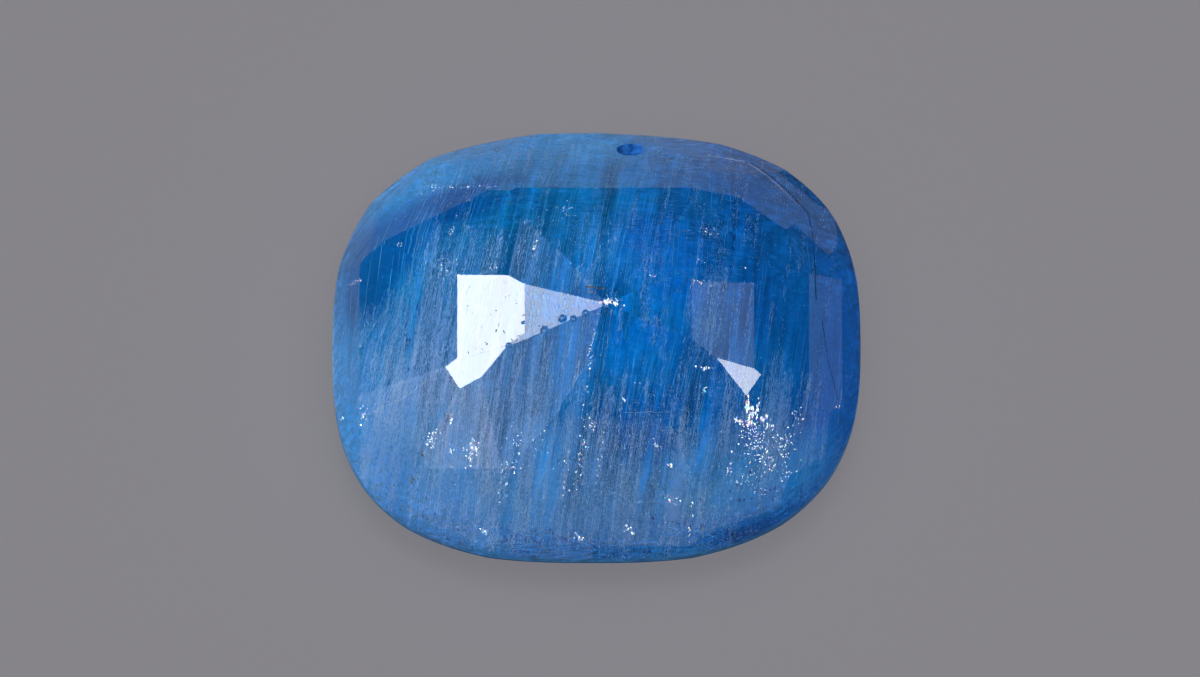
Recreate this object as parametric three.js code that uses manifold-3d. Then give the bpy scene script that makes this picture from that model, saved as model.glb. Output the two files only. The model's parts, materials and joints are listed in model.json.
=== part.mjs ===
// A natural blue sapphire, hand cut as a cushion: a stepped pavilion over a low crown.
// Millimetres, +Z up. The stone lies on its table facet, so its pavilion and culet point up.
// The origin is the middle of the outline, in the plane of the table.

import * as THREE from "three";
import { mergeVertices } from "three/addons/utils/BufferGeometryUtils.js";
import Module from "manifold-3d";

// Driving dimensions ---------------------------------------------------------------------

const LENGTH = 12.0; // the outline along X
const WIDTH = 9.9; // the outline along Y
const CROWN_HEIGHT = 1.4; // table to the girdle's lower edge
const GIRDLE_HEIGHT = 0.35; // the girdle's smooth wall, where the facets leave least of it
const PAVILION_HEIGHT = 4.55; // girdle's upper edge to the culet
const CULET_OFFSET = [0.2, -0.03]; // the culet stands a little off the middle
const OUTLINE_STEPS = 128; // straight steps round the smooth girdle

// How square each corner of the cushion is, as the exponent of its quarter of a superellipse.
const SQUARENESS = { northEast: 2.75, northWest: 2.67, southWest: 2.8, southEast: 2.57 };

const GIRDLE_TOP = CROWN_HEIGHT + GIRDLE_HEIGHT;
const CULET_HEIGHT = GIRDLE_TOP + PAVILION_HEIGHT;
const SAPPHIRE_BLUE = 0x1f66b0;

// The facets. A facet's azimuth is the compass direction it faces, in degrees from +X towards
// +Y, and its slope is its angle from level. A pavilion facet is ground down until it meets the
// surface left by the facets before it at the plan point [x, y], measured from the culet.

const PAVILION = [
  // round the culet
  { azimuth: 0, slope: 24.5, meets: [0, 0] },
  { azimuth: 180, slope: 23, meets: [0, 0] },
  { azimuth: 90, slope: 30, meets: [0, 0] },
  { azimuth: -90, slope: 35, meets: [0, 0] },
  { azimuth: -54, slope: 28.2, meets: [0, 0] },
  { azimuth: 53.6, slope: 24.5, meets: [0, 0] },
  { azimuth: 130, slope: 25.2, meets: [0, 0] },
  { azimuth: -128, slope: 26.9, meets: [0, 0] },
  // second step
  { azimuth: 0, slope: 30.5, meets: [1.95, 0] },
  { azimuth: 180, slope: 28.5, meets: [-1.82, 0] },
  { azimuth: 90, slope: 32.5, meets: [0, 1.15] },
  { azimuth: -90, slope: 38, meets: [0, -1.22] },
  { azimuth: 38, slope: 34.3, meets: [2.23, 0.73] },
  { azimuth: 141, slope: 32.2, meets: [-2.2, 0.87] },
  { azimuth: -143, slope: 31.7, meets: [-2.25, -0.8] },
  { azimuth: -111, slope: 33.6, meets: [-2.25, -0.8] },
  { azimuth: -35, slope: 33, meets: [2.52, -1.0] },
  { azimuth: -67, slope: 34, meets: [2.52, -1.0] },
  // third step
  { azimuth: 0, slope: 38, meets: [3.36, 0] },
  { azimuth: 180, slope: 36, meets: [-3.34, 0] },
  { azimuth: 90, slope: 36, meets: [0, 2.2] },
  { azimuth: -90, slope: 42, meets: [0, -2.32] },
  { azimuth: 40, slope: 38.5, meets: [3.2, 1.7] },
  { azimuth: 132, slope: 37, meets: [-2.9, 2.2] },
  { azimuth: -144, slope: 38.5, meets: [-3.52, -1.2] },
  { azimuth: -120, slope: 37, meets: [-2.8, -1.36] },
  { azimuth: -35, slope: 39.3, meets: [3.43, -1.36] },
  { azimuth: -66, slope: 41, meets: [2.5, -2.3] },
  // fourth step
  { azimuth: 0, slope: 52, meets: [4.61, 0] },
  { azimuth: 32.5, slope: 51, meets: [4.6, 1.3] },
  { azimuth: 24, slope: 53.5, meets: [4.72, 1.36] },
  { azimuth: 46, slope: 50, meets: [3.0, 3.06] },
  { azimuth: 56, slope: 48.5, meets: [3.0, 3.06] },
  { azimuth: 90, slope: 52, meets: [0, 3.15] },
  { azimuth: 106, slope: 51.5, meets: [-2.3, 3.09] },
  { azimuth: 126, slope: 48, meets: [-3.57, 2.74] },
  { azimuth: 150, slope: 54, meets: [-5.1, 2.2] },
  { azimuth: 180, slope: 66, meets: [-5.57, 0] },
  { azimuth: -140, slope: 49, meets: [-4.7, -2.3] },
  { azimuth: -112, slope: 47, meets: [-3.0, -3.2] },
  { azimuth: -90, slope: 46, meets: [0, -3.19] },
  { azimuth: -66, slope: 47, meets: [3.0, -3.2] },
  { azimuth: -36, slope: 50, meets: [4.61, -1.72] },
];

// The last step of the pavilion is ground to the girdle's upper edge all round.
const PAVILION_RIM = [
  { azimuth: 0, slope: 64 },
  { azimuth: 20, slope: 64 },
  { azimuth: 47, slope: 56.5 },
  { azimuth: 68, slope: 58 },
  { azimuth: 84, slope: 60 },
  { azimuth: 104, slope: 61 },
  { azimuth: 128, slope: 59 },
  { azimuth: 154, slope: 65 },
  { azimuth: -158, slope: 65 },
  { azimuth: -134, slope: 64 },
  { azimuth: -112, slope: 65 },
  { azimuth: -90, slope: 66 },
  { azimuth: -68, slope: 65 },
  { azimuth: -45, slope: 64 },
  { azimuth: -22, slope: 67 },
];

// The crown has two rings of facets. Each ring's facets start a set distance inside the outline.
// Each ring is given for one quarter, from +X to +Y, and repeats in the others.
const CROWN_RINGS = [
  { slope: 38, inset: 0, quarter: [0, 24, 46, 68, 90] },
  { slope: 27, inset: 1.15, quarter: [0, 35, 58, 90] },
];

// Nicks knocked out of the edges by wear. Each is the scoop left by a ball of this radius, its
// middle over a plan point measured from the culet, and a share of the radius above the surface.
const NICK_LIFT = 0.6;
const NICKS = [
  { at: [0.07, 0.02], radius: 0.2 }, // the culet
  { at: [-0.46, -0.2], radius: 0.1 }, // the ridge running south-west from the culet
  { at: [-0.73, -0.31], radius: 0.1 },
  { at: [-0.99, -0.28], radius: 0.14 },
  { at: [-1.38, -0.52], radius: 0.13 },
  { at: [-2.2, -0.77], radius: 0.1 },
  { at: [-1.87, -0.27], radius: 0.06 }, // the step above that ridge
  { at: [0.57, 4.53], radius: 0.36 }, // the north rim
];

// Solids --------------------------------------------------------------------------------

const wasm = await Module();
wasm.setup();

/** A manifold solid from a closed three.js geometry. */
function toSolid(geometry) {
  const bare = geometry.clone();
  bare.deleteAttribute("normal");
  bare.deleteAttribute("uv");
  const merged = mergeVertices(bare, 1e-5);
  const vertProperties = new Float32Array(merged.attributes.position.array);
  const triVerts = new Uint32Array(merged.index.array);
  return new wasm.Manifold(new wasm.Mesh({ numProp: 3, vertProperties, triVerts }));
}

/** A three.js geometry from a manifold solid. */
function toGeometry(solid) {
  const mesh = solid.getMesh();
  const geometry = new THREE.BufferGeometry();
  geometry.setAttribute("position", new THREE.BufferAttribute(mesh.vertProperties, 3));
  geometry.setIndex(new THREE.BufferAttribute(mesh.triVerts, 1));
  geometry.computeVertexNormals();
  return geometry;
}

// The outline ----------------------------------------------------------------------------

/** The exponent of the outline in the quarter that a direction points to. */
function squareness(x, y) {
  if (y >= 0) return x >= 0 ? SQUARENESS.northEast : SQUARENESS.northWest;
  return x >= 0 ? SQUARENESS.southEast : SQUARENESS.southWest;
}

/** A point of the outline, at a turn in radians from +X towards +Y. */
function outlinePoint(turn) {
  const [c, s] = [Math.cos(turn), Math.sin(turn)];
  const power = 2 / squareness(c, s);
  const x = (LENGTH / 2) * Math.sign(c) * Math.abs(c) ** power;
  const y = (WIDTH / 2) * Math.sign(s) * Math.abs(s) ** power;
  return new THREE.Vector2(x, y);
}

/** The point of the outline that lies furthest out in the direction of an azimuth. */
function rimPoint(azimuth) {
  const turn = THREE.MathUtils.degToRad(azimuth);
  const [c, s] = [Math.cos(turn), Math.sin(turn)];
  const n = squareness(c, s);
  const u = (LENGTH / 2) * Math.abs(c);
  const v = (WIDTH / 2) * Math.abs(s);
  const size = (u ** (n / (n - 1)) + v ** (n / (n - 1))) ** (1 / n);
  const x = (LENGTH / 2) * Math.sign(c) * (u ** (1 / (n - 1)) / size);
  const y = (WIDTH / 2) * Math.sign(s) * (v ** (1 / (n - 1)) / size);
  return new THREE.Vector2(x, y);
}

/** The preform: the outline's smooth wall, from the table to the culet's height. */
function preform() {
  const points = [];
  for (let i = 0; i < OUTLINE_STEPS; i += 1) {
    points.push(outlinePoint((i / OUTLINE_STEPS) * 2 * Math.PI));
  }
  const shape = new THREE.Shape(points);
  return toSolid(new THREE.ExtrudeGeometry(shape, { depth: CULET_HEIGHT, bevelEnabled: false }));
}

// Grinding -------------------------------------------------------------------------------

/** The direction out of a facet. Crown facets face down. */
function facetNormal(azimuth, slope, down = false) {
  const turn = THREE.MathUtils.degToRad(azimuth);
  const lean = THREE.MathUtils.degToRad(slope);
  const level = Math.sin(lean);
  const upright = Math.cos(lean) * (down ? -1 : 1);
  return new THREE.Vector3(level * Math.cos(turn), level * Math.sin(turn), upright);
}

/** What a flat lap takes away: everything on the outer side of the plane through a point. */
function waste(normal, point) {
  const size = 3 * LENGTH;
  const block = new THREE.BoxGeometry(size, size, size);
  block.translate(0, 0, size / 2);
  const turn = new THREE.Quaternion().setFromUnitVectors(new THREE.Vector3(0, 0, 1), normal);
  block.applyQuaternion(turn);
  block.translate(point.x, point.y, point.z);
  return toSolid(block);
}

/** The point of the ground surface over a plan point measured from the culet. */
function surfacePoint(planes, [fromCuletX, fromCuletY]) {
  const [x, y] = [CULET_OFFSET[0] + fromCuletX, CULET_OFFSET[1] + fromCuletY];
  let height = CULET_HEIGHT;
  for (const { normal, point } of planes) {
    const drop = (normal.x * (x - point.x) + normal.y * (y - point.y)) / normal.z;
    height = Math.min(height, point.z - drop);
  }
  return new THREE.Vector3(x, y, height);
}

/** The pavilion's lap planes, each as its normal and a point on it. */
function pavilionPlanes() {
  const planes = [];
  for (const { azimuth, slope, meets } of PAVILION) {
    planes.push({ normal: facetNormal(azimuth, slope), point: surfacePoint(planes, meets) });
  }
  for (const { azimuth, slope } of PAVILION_RIM) {
    const rim = rimPoint(azimuth);
    planes.push({ normal: facetNormal(azimuth, slope), point: new THREE.Vector3(rim.x, rim.y, GIRDLE_TOP) });
  }
  return planes;
}

/** All the azimuths of a ring, from those of its first quarter. */
function wholeRing(quarter) {
  const half = [...quarter, ...quarter.map((azimuth) => 180 - azimuth)];
  const ring = [...half, ...half.map((azimuth) => -azimuth)];
  return [...new Set(ring.map((azimuth) => (azimuth + 360) % 360))];
}

/** The crown's lap planes. Each inner ring starts where the ring outside it has reached. */
function crownPlanes() {
  const planes = [];
  let height = CROWN_HEIGHT;
  let reached = 0;
  let slopeSoFar = CROWN_RINGS[0].slope;
  for (const { slope, inset, quarter } of CROWN_RINGS) {
    height -= (inset - reached) * Math.tan(THREE.MathUtils.degToRad(slopeSoFar));
    for (const azimuth of wholeRing(quarter)) {
      const rim = rimPoint(azimuth);
      const turn = THREE.MathUtils.degToRad(azimuth);
      const x = rim.x - inset * Math.cos(turn);
      const y = rim.y - inset * Math.sin(turn);
      planes.push({ normal: facetNormal(azimuth, slope, true), point: new THREE.Vector3(x, y, height) });
    }
    reached = inset;
    slopeSoFar = slope;
  }
  return planes;
}

/** The ball whose scoop makes a nick. */
function nick(planes, { at, radius }) {
  const middle = surfacePoint(planes, at);
  const ball = new THREE.IcosahedronGeometry(radius, 1);
  ball.translate(middle.x, middle.y, middle.z + NICK_LIFT * radius);
  return toSolid(ball);
}

/** The stone: the preform with every facet ground on it, then its nicks. */
function cutStone() {
  const pavilion = pavilionPlanes();
  let stone = preform();
  for (const { normal, point } of [...pavilion, ...crownPlanes()]) {
    stone = stone.subtract(waste(normal, point));
  }
  for (const place of NICKS) {
    stone = stone.subtract(nick(pavilion, place));
  }
  return stone;
}

// The scene graph ------------------------------------------------------------------------

const material = new THREE.MeshStandardMaterial({
  color: SAPPHIRE_BLUE,
  roughness: 0.05,
  metalness: 0,
  transparent: true,
  opacity: 0.85,
  flatShading: true,
});
const sapphire = new THREE.Mesh(toGeometry(cutStone()), material);
sapphire.name = "sapphire";

const part = new THREE.Group();
part.add(sapphire);

export default part;
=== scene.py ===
"""The looks of a natural blue sapphire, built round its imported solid.

It is laid out as a Blender add-on and run as a script. Everything is in metres, in the solid's frame:
the stone lies on its table, the culet points up (+Z), and its longer side runs along X.
"""

import json
import math

import bpy
import numpy as np
from bpy.props import FloatProperty, FloatVectorProperty, PointerProperty
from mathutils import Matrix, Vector, noise

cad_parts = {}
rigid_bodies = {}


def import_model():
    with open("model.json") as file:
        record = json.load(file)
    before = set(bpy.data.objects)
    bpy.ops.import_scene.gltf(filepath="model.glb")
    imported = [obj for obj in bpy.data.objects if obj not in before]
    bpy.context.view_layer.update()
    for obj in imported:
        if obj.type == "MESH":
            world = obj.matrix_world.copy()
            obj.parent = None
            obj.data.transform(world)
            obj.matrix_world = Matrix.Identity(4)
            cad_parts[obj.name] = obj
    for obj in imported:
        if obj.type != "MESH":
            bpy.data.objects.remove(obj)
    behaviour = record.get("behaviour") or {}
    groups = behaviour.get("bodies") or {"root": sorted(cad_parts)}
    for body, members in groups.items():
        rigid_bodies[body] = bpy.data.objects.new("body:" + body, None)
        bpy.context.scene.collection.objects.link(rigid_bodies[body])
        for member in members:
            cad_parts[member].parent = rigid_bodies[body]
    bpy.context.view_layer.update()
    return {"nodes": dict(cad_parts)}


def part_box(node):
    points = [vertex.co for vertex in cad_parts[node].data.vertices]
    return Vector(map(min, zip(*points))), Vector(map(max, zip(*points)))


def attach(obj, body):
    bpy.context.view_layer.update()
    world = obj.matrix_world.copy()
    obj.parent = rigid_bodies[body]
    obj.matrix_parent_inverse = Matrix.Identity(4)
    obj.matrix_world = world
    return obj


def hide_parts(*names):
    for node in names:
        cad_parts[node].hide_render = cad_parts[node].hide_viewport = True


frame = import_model()
STONE_LOW, STONE_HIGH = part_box("sapphire")

bl_info = {
    "name": "Sapphire",
    "version": (1, 0, 0),
    "blender": (4, 5, 0),
    "location": "3D View > Sidebar > Sapphire",
    "description": "A cushion-cut natural sapphire with the silk, feathers and specks sealed in it",
    "category": "Add Mesh",
}

MM = 0.001
SAPPHIRE_IOR = 1.77


# Small helpers ---------------------------------------------------------------------------


def linear(hex_colour):
    """An sRGB hex colour as linear red, green, blue and alpha."""
    parts = [int(hex_colour[i : i + 2], 16) / 255 for i in (1, 3, 5)]
    return tuple(c / 12.92 if c <= 0.04045 else ((c + 0.055) / 1.055) ** 2.4 for c in parts) + (1.0,)


def add_node(tree, kind, inputs=None, **settings):
    """Adds a shader node. Settings are its attributes, and an input takes a value or a node's output."""
    node = tree.nodes.new("ShaderNode" + kind)
    for name, value in settings.items():
        setattr(node, name, value)
    for name, value in (inputs or {}).items():
        if isinstance(value, bpy.types.NodeSocket):
            tree.links.new(value, node.inputs[name])
        else:
            node.inputs[name].default_value = value
    return node


def new_material(name):
    """A material with an empty node tree."""
    material = bpy.data.materials.new(name)
    material.use_nodes = True
    material.node_tree.nodes.clear()
    return material, material.node_tree


def finished(material, inputs, **volume):
    """The material with its shader, which has these inputs, its output, and a volume if it has one."""
    shader = add_node(material.node_tree, "BsdfPrincipled", inputs)
    ends = {"Surface": shader.outputs["BSDF"], **volume}
    add_node(material.node_tree, "OutputMaterial", ends)
    return material


def deselect():
    """Leaves edit mode, and nothing selected."""
    if bpy.context.object and bpy.context.object.mode != "OBJECT":
        bpy.ops.object.mode_set(mode="OBJECT")
    bpy.ops.object.select_all(action="DESELECT")


def edit_all():
    """Enters edit mode, with all of the active piece selected."""
    bpy.ops.object.mode_set(mode="EDIT")
    bpy.ops.mesh.select_all(action="SELECT")


def own_copy(source, name):
    """A copy of a piece with its own mesh and none of its ties, made active and selected."""
    deselect()
    piece = source.copy()
    piece.data = source.data.copy()
    piece.name = name
    for key in list(piece.keys()):
        del piece[key]
    piece.parent = None
    bpy.context.scene.collection.objects.link(piece)
    bpy.context.view_layer.objects.active = piece
    piece.select_set(True)
    return piece


def face_outwards(piece, material):
    """Turns all faces of the piece in edit mode outwards, leaves edit mode and gives it its material."""
    bpy.ops.mesh.select_all(action="SELECT")
    bpy.ops.mesh.normals_make_consistent(inside=False)
    bpy.ops.object.mode_set(mode="OBJECT")
    piece.data.materials.clear()
    piece.data.materials.append(material)


def sky_direction(azimuth, elevation):
    """The direction to a place in the sky: azimuth from +X towards +Y, in degrees."""
    turn, rise = math.radians(azimuth), math.radians(elevation)
    return Vector((math.cos(rise) * math.cos(turn), math.cos(rise) * math.sin(turn), math.sin(rise)))


# Sizes and colours that a user would change ------------------------------------------------


class StoneSettings(bpy.types.PropertyGroup):
    """The crystal itself."""

    body_colour: FloatVectorProperty(
        name="Body colour",
        description="The colour left of white light by one absorption length of sapphire",
        subtype="COLOR",
        min=0,
        max=1,
        default=(0.0, 0.89, 0.9955),
    )
    absorption: FloatProperty(
        name="Absorption", description="How strongly the crystal absorbs, per metre", default=900.0, min=0
    )


class SilkSettings(bpy.types.PropertyGroup):
    """The silk sealed in the crystal."""

    amount: FloatProperty(
        name="Amount",
        description="How many threads there are, as a share of the usual",
        subtype="FACTOR",
        default=1.0,
        min=0,
        max=1,
    )
    thread_colour: FloatVectorProperty(
        name="Threads",
        description="Colour of the duller threads of silk",
        subtype="COLOR",
        default=linear("#C4D8F6")[:3],
    )
    bright_colour: FloatVectorProperty(
        name="Bright threads",
        description="Colour of the brighter threads of silk",
        subtype="COLOR",
        default=linear("#DDEAFC")[:3],
    )
    azimuth: FloatProperty(
        name="Direction",
        description="Which way the silk runs, from the long side of the stone",
        subtype="ANGLE",
        default=math.radians(81),
    )


class SpeckSettings(bpy.types.PropertyGroup):
    """Films, dark crystals and stains."""

    amount: FloatProperty(
        name="Amount",
        description="How many specks there are, as a share of the usual",
        subtype="FACTOR",
        default=1.0,
        min=0,
        max=1,
    )
    film_roughness: FloatProperty(
        name="Film roughness",
        description="How blurred the flash of a film is",
        subtype="FACTOR",
        default=0.2,
        min=0,
        max=1,
    )
    stain_colour: FloatVectorProperty(
        name="Stains",
        description="Darkest colour of the iron stains",
        subtype="COLOR",
        default=linear("#5D5348")[:3],
    )


class StudioSettings(bpy.types.PropertyGroup):
    """The floor, the lights and the camera."""

    floor_colour: FloatVectorProperty(
        name="Floor", description="Colour of the floor", subtype="COLOR", default=linear("#918F94")[:3]
    )
    brightness: FloatProperty(name="Light", description="Brightness of every light", default=1.0, min=0)
    lens: FloatProperty(name="Lens", description="Focal length", default=600.0, unit="CAMERA", min=1)
    frame_width: FloatProperty(
        name="Frame width",
        description="What the camera's frame spans at the stone",
        default=27.27 * MM,
        unit="LENGTH",
    )


# The crystal -------------------------------------------------------------------------------

# Corners closer than this are one, and faces that lean less than this from each other are one facet
MERGE_DISTANCE = 0.0005 * MM
FLAT_ANGLE = math.radians(0.05)


def sapphire_material(settings):
    """Polished corundum. It gives clear glassy faces over a body that turns light deep blue."""
    material, tree = new_material("sapphire_corundum")
    body = add_node(
        tree,
        "VolumeAbsorption",
        {"Color": (*settings.body_colour, 1), "Density": settings.absorption},
    )
    glass = {"Base Color": (1, 1, 1, 1), "Roughness": 0.0, "IOR": SAPPHIRE_IOR, "Transmission Weight": 1.0}
    return finished(material, glass, Volume=body.outputs["Volume"])


class SAPPHIRE_OT_crystal(bpy.types.Operator):
    """The cut crystal, with its facets flat and its corners merged."""

    bl_idname = "sapphire.crystal"
    bl_label = "Crystal"

    def execute(self, context):
        crystal = own_copy(frame["nodes"]["sapphire"], "crystal")
        bpy.ops.mesh.customdata_custom_splitnormals_clear()
        edit_all()
        bpy.ops.mesh.remove_doubles(threshold=MERGE_DISTANCE)
        bpy.ops.mesh.dissolve_limited(angle_limit=FLAT_ANGLE)
        face_outwards(crystal, sapphire_material(context.scene.sapphire_stone))
        bpy.ops.object.shade_flat()
        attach(crystal, "root")
        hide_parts("sapphire")
        return {"FINISHED"}


# Places and copies of what is sealed in the crystal -------------------------------------------

# Only faces larger than this count as facets, in square metres
LEAST_FACET = (0.15 * MM) ** 2
# A facet of the pavilion faces up by at least this
LEAST_RISE = 0.1
# A plate's corners: how far out they lie, by how much that wanders, and its step from one to the next
UNEVEN = (0.85, 0.3, 3.7)
# The scoop in the north rim: the middle and radius of the ball it is part of, in mm
NICK_MIDDLE = (0.77, 4.50, 2.736)
NICK_RADIUS = 0.36
# How far everything else stays off the scoop, in mm
NICK_MARGIN = 0.03


def stone_planes():
    """The planes of the crystal's facets, as normals and distances from the origin."""
    planes = {}
    for face in bpy.data.objects["crystal"].data.polygons:
        if face.area > LEAST_FACET:
            key = tuple(round(c, 3) for c in face.normal)
            planes[key] = (*face.normal, face.normal.dot(face.center))
    table = np.array(list(planes.values()))
    return table[:, :3], table[:, 3]


def depth_inside(points, planes):
    """How far each point is under the nearest face. Outside the stone it is negative."""
    normals, offsets = planes
    return (offsets - points @ normals.T).min(axis=1)


def corners_inside(places, frames, planes):
    """How far the corners of each frame are under the nearest face."""
    side, along = frames[:, :, 0] / 2, frames[:, :, 2] / 2
    corners = [places + side * a + along * b for a in (1, -1) for b in (1, -1)]
    return np.min([depth_inside(corner, planes) for corner in corners], axis=0)


def take_shape(model):
    """The corners and faces of a model, which is closed, faces outwards and is then thrown away."""
    bpy.ops.mesh.select_all(action="SELECT")
    bpy.ops.mesh.remove_doubles(threshold=0.001)
    bpy.ops.mesh.normals_make_consistent(inside=False)
    bpy.ops.object.mode_set(mode="OBJECT")
    corners = np.array([vertex.co[:] for vertex in model.data.vertices])
    faces = [list(face.vertices) for face in model.data.polygons]
    bpy.data.objects.remove(model)
    return corners, faces


def needle_shape():
    """A closed needle along Z, one unit long and one unit wide, as corners and faces."""
    deselect()
    bpy.ops.mesh.primitive_circle_add(vertices=3, radius=0.5, fill_type="NOTHING")
    needle = bpy.context.object
    bpy.ops.object.mode_set(mode="EDIT")
    for tip in (0.5, -0.5):
        bpy.ops.mesh.select_all(action="DESELECT")
        bpy.ops.object.mode_set(mode="OBJECT")
        for vertex in needle.data.vertices:
            vertex.select = abs(vertex.co.z) < 0.01
        bpy.ops.object.mode_set(mode="EDIT")
        bpy.ops.mesh.select_mode(type="VERT")
        bpy.ops.mesh.extrude_region_move(TRANSFORM_OT_translate={"value": (0, 0, tip)})
        bpy.ops.mesh.merge(type="CENTER")
    return take_shape(needle)


def plate_shape():
    """A closed uneven five-sided plate in the XZ plane, one unit long, wide and thick."""
    reach, wander, step = UNEVEN
    deselect()
    bpy.ops.mesh.primitive_circle_add(
        vertices=5, radius=0.5, fill_type="NGON", rotation=(math.pi / 2, 0, 0)
    )
    plate = bpy.context.object
    bpy.ops.object.transform_apply(rotation=True)
    for vertex in plate.data.vertices:
        vertex.co *= reach + wander * math.sin(step * vertex.index)
    edit_all()
    bpy.ops.mesh.extrude_region_move(TRANSFORM_OT_translate={"value": (0, 1, 0)})
    bpy.ops.mesh.select_all(action="SELECT")
    bpy.ops.transform.translate(value=(0, -0.5, 0))
    return take_shape(plate)


def joined_copies(name, shape, centres, frames, material):
    """One mesh of many copies of a shape, each put in place by its own centre and 3 by 3 frame."""
    corners, faces = shape
    from_nick = np.linalg.norm(centres - np.array(NICK_MIDDLE) * MM, axis=1)
    clear = from_nick > (NICK_RADIUS + NICK_MARGIN) * MM
    centres, frames = centres[clear], frames[clear]
    placed = np.einsum("nij,vj->nvi", frames, corners) + centres[:, None, :]
    sizes = np.tile([len(face) for face in faces], len(centres))
    loops = np.array(sum(faces, []))[None, :] + np.arange(len(centres))[:, None] * len(corners)
    mesh = bpy.data.meshes.new(name)
    mesh.vertices.add(len(centres) * len(corners))
    mesh.vertices.foreach_set("co", placed.astype(np.float32).ravel())
    mesh.loops.add(int(sizes.sum()))
    mesh.loops.foreach_set("vertex_index", loops.ravel().astype(np.int32))
    mesh.polygons.add(len(sizes))
    starts = np.concatenate([[0], np.cumsum(sizes)[:-1]])
    mesh.polygons.foreach_set("loop_start", starts.astype(np.int32))
    mesh.update(calc_edges=True)
    mesh.validate()
    mesh.shade_flat()
    mesh.materials.append(material)
    piece = bpy.data.objects.new(name, mesh)
    bpy.context.scene.collection.objects.link(piece)
    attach(piece, "root")


def under(plan, depth, planes):
    """Places so many mm under the pavilion, below points in plan in mm, and the normals there."""
    normals, offsets = planes
    above = normals[:, 2] > LEAST_RISE
    normals, offsets = normals[above], offsets[above]
    flat = np.asarray(plan) * MM
    heights = (offsets - flat @ normals[:, :2].T) / normals[:, 2]
    facet = heights.argmin(axis=1)
    tops = np.column_stack([flat, heights.min(axis=1)])
    return tops - normals[facet] * (np.reshape(depth, (-1, 1)) * MM), normals[facet]


def moved(plan, azimuth, along, across):
    """Points in plan moved along an azimuth in degrees, and across it to the right."""
    turn = np.radians(azimuth)
    east = along * np.cos(turn) + across * np.sin(turn)
    north = along * np.sin(turn) - across * np.cos(turn)
    return plan + np.column_stack([east, north])


def frames_on(normals, azimuth, lengths, widths, thickness):
    """Frames that lay a shape along a facet, with its length at an azimuth in degrees, sizes in mm."""
    turn = np.radians(azimuth)
    along = np.column_stack([np.cos(turn), np.sin(turn), np.zeros(len(turn))])
    along[:, 2] = -(normals * along).sum(axis=1) / normals[:, 2]
    along /= np.linalg.norm(along, axis=1, keepdims=True)
    side = np.cross(normals, along)
    sizes = [np.reshape(size, (-1, 1)) * MM for size in (widths, thickness, lengths)]
    return np.stack([axis * size for axis, size in zip((side, normals, along), sizes)], axis=2)


def lay(name, shape, planes, plan, depth, azimuth, lengths, widths, thickness, cover, material):
    """Copies of a shape along the facets, all sizes in mm, if the facet covers them by so much."""
    places, normals = under(plan, depth, planes)
    frames = frames_on(normals, azimuth, lengths, widths, thickness)
    covered = corners_inside(places, frames, planes) > cover * MM
    joined_copies(name, shape, places[covered], frames[covered], material)


def frames_along(directions, lengths, widths):
    """Frames that stretch a unit shape along each direction, sizes in mm."""
    along = directions / np.linalg.norm(directions, axis=1, keepdims=True)
    helper = np.where(np.abs(along[:, 2:]) < 0.9, [[0.0, 0, 1]], [[1.0, 0, 0]])
    side = np.cross(helper, along)
    side /= np.linalg.norm(side, axis=1, keepdims=True)
    sizes = [size[:, None] * MM for size in (widths, widths, lengths)]
    axes = (side, np.cross(along, side), along)
    return np.stack([axis * size for axis, size in zip(axes, sizes)], axis=2)


# Silk ------------------------------------------------------------------------------------------

# Which way the silk runs in plan, in degrees from the long side of the stone
SILK_AZIMUTH = 81.0
# Clouds of silk in plan: centre x, y in mm, radii across and along the silk in mm, strength
SKIN_CLOUDS = (
    (-4.2, -0.5, 1.4, 2.4, 0.9),
    (-2.2, -2.6, 2.2, 1.6, 0.8),
    (0.8, -3.4, 2.2, 1.2, 0.6),
    (3.2, -2.7, 1.3, 1.2, 0.5),
    (-2.4, 1.5, 1.5, 0.9, 0.4),
    (-4.0, 3.3, 1.5, 0.9, 0.4),
    (-0.5, 4.2, 3.5, 0.6, 0.35),
    (0.3, 1.6, 1.2, 1.2, 0.12),
    (2.9, 0.0, 0.6, 0.9, 0.3),
    (-4.8, -2.6, 0.9, 1.4, 0.4),
    (-1.0, -4.6, 3.6, 0.4, 0.35),
    (2.6, -4.3, 1.8, 0.5, 0.35),
    (4.5, -2.8, 0.9, 1.0, 0.3),
    (4.1, -1.8, 0.8, 0.5, 0.4),
    (-4.75, 1.4, 0.6, 0.9, -1.0),
    (-2.9, 2.6, 1.6, 0.5, -1.2),
    (-5.3, 1.2, 0.7, 1.6, -0.4),
    (3.6, -3.9, 1.0, 0.5, -0.5),
    (-0.7, -2.4, 0.9, 1.0, 0.5),
    (-4.9, -0.6, 0.7, 1.6, 0.3),
)
CROSS_CLOUDS = (
    (1.0, 4.2, 3.0, 0.5, 0.9),
    (-2.6, 4.1, 1.8, 0.5, 0.5),
    (0.4, 2.4, 2.2, 0.9, 0.25),
    (1.6, 1.2, 1.4, 0.8, 0.12),
    (1.2, -2.2, 1.4, 0.6, 0.25),
    (1.0, -4.2, 2.6, 0.5, 0.3),
)
DEEP_CLOUDS = (
    (-3.5, -0.5, 2.2, 4.0, 0.45),
    (0.5, -3.4, 3.5, 1.8, 0.4),
    (3.4, 1.6, 2.4, 3.0, -0.45),
    (-4.7, 1.3, 0.6, 1.0, -0.4),
)
# Threads just under the facets: kind, count, turn from the silk's direction and spread in degrees,
# and least and most depth, length and width in mm
SKIN_LAYERS = {
    "silk_skin": ("skin", 4200, 0.0, 1.4, (0.01, 0.30), (0.2, 1.2), (0.003, 0.006)),
    "silk_dust": ("skin", 18000, 0.0, 20.0, (0.01, 0.25), (0.01, 0.06), (0.006, 0.018)),
    "silk_cross": ("cross", 3600, -85.0, 4.0, (0.01, 0.20), (0.05, 0.30), (0.003, 0.007)),
}
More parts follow.
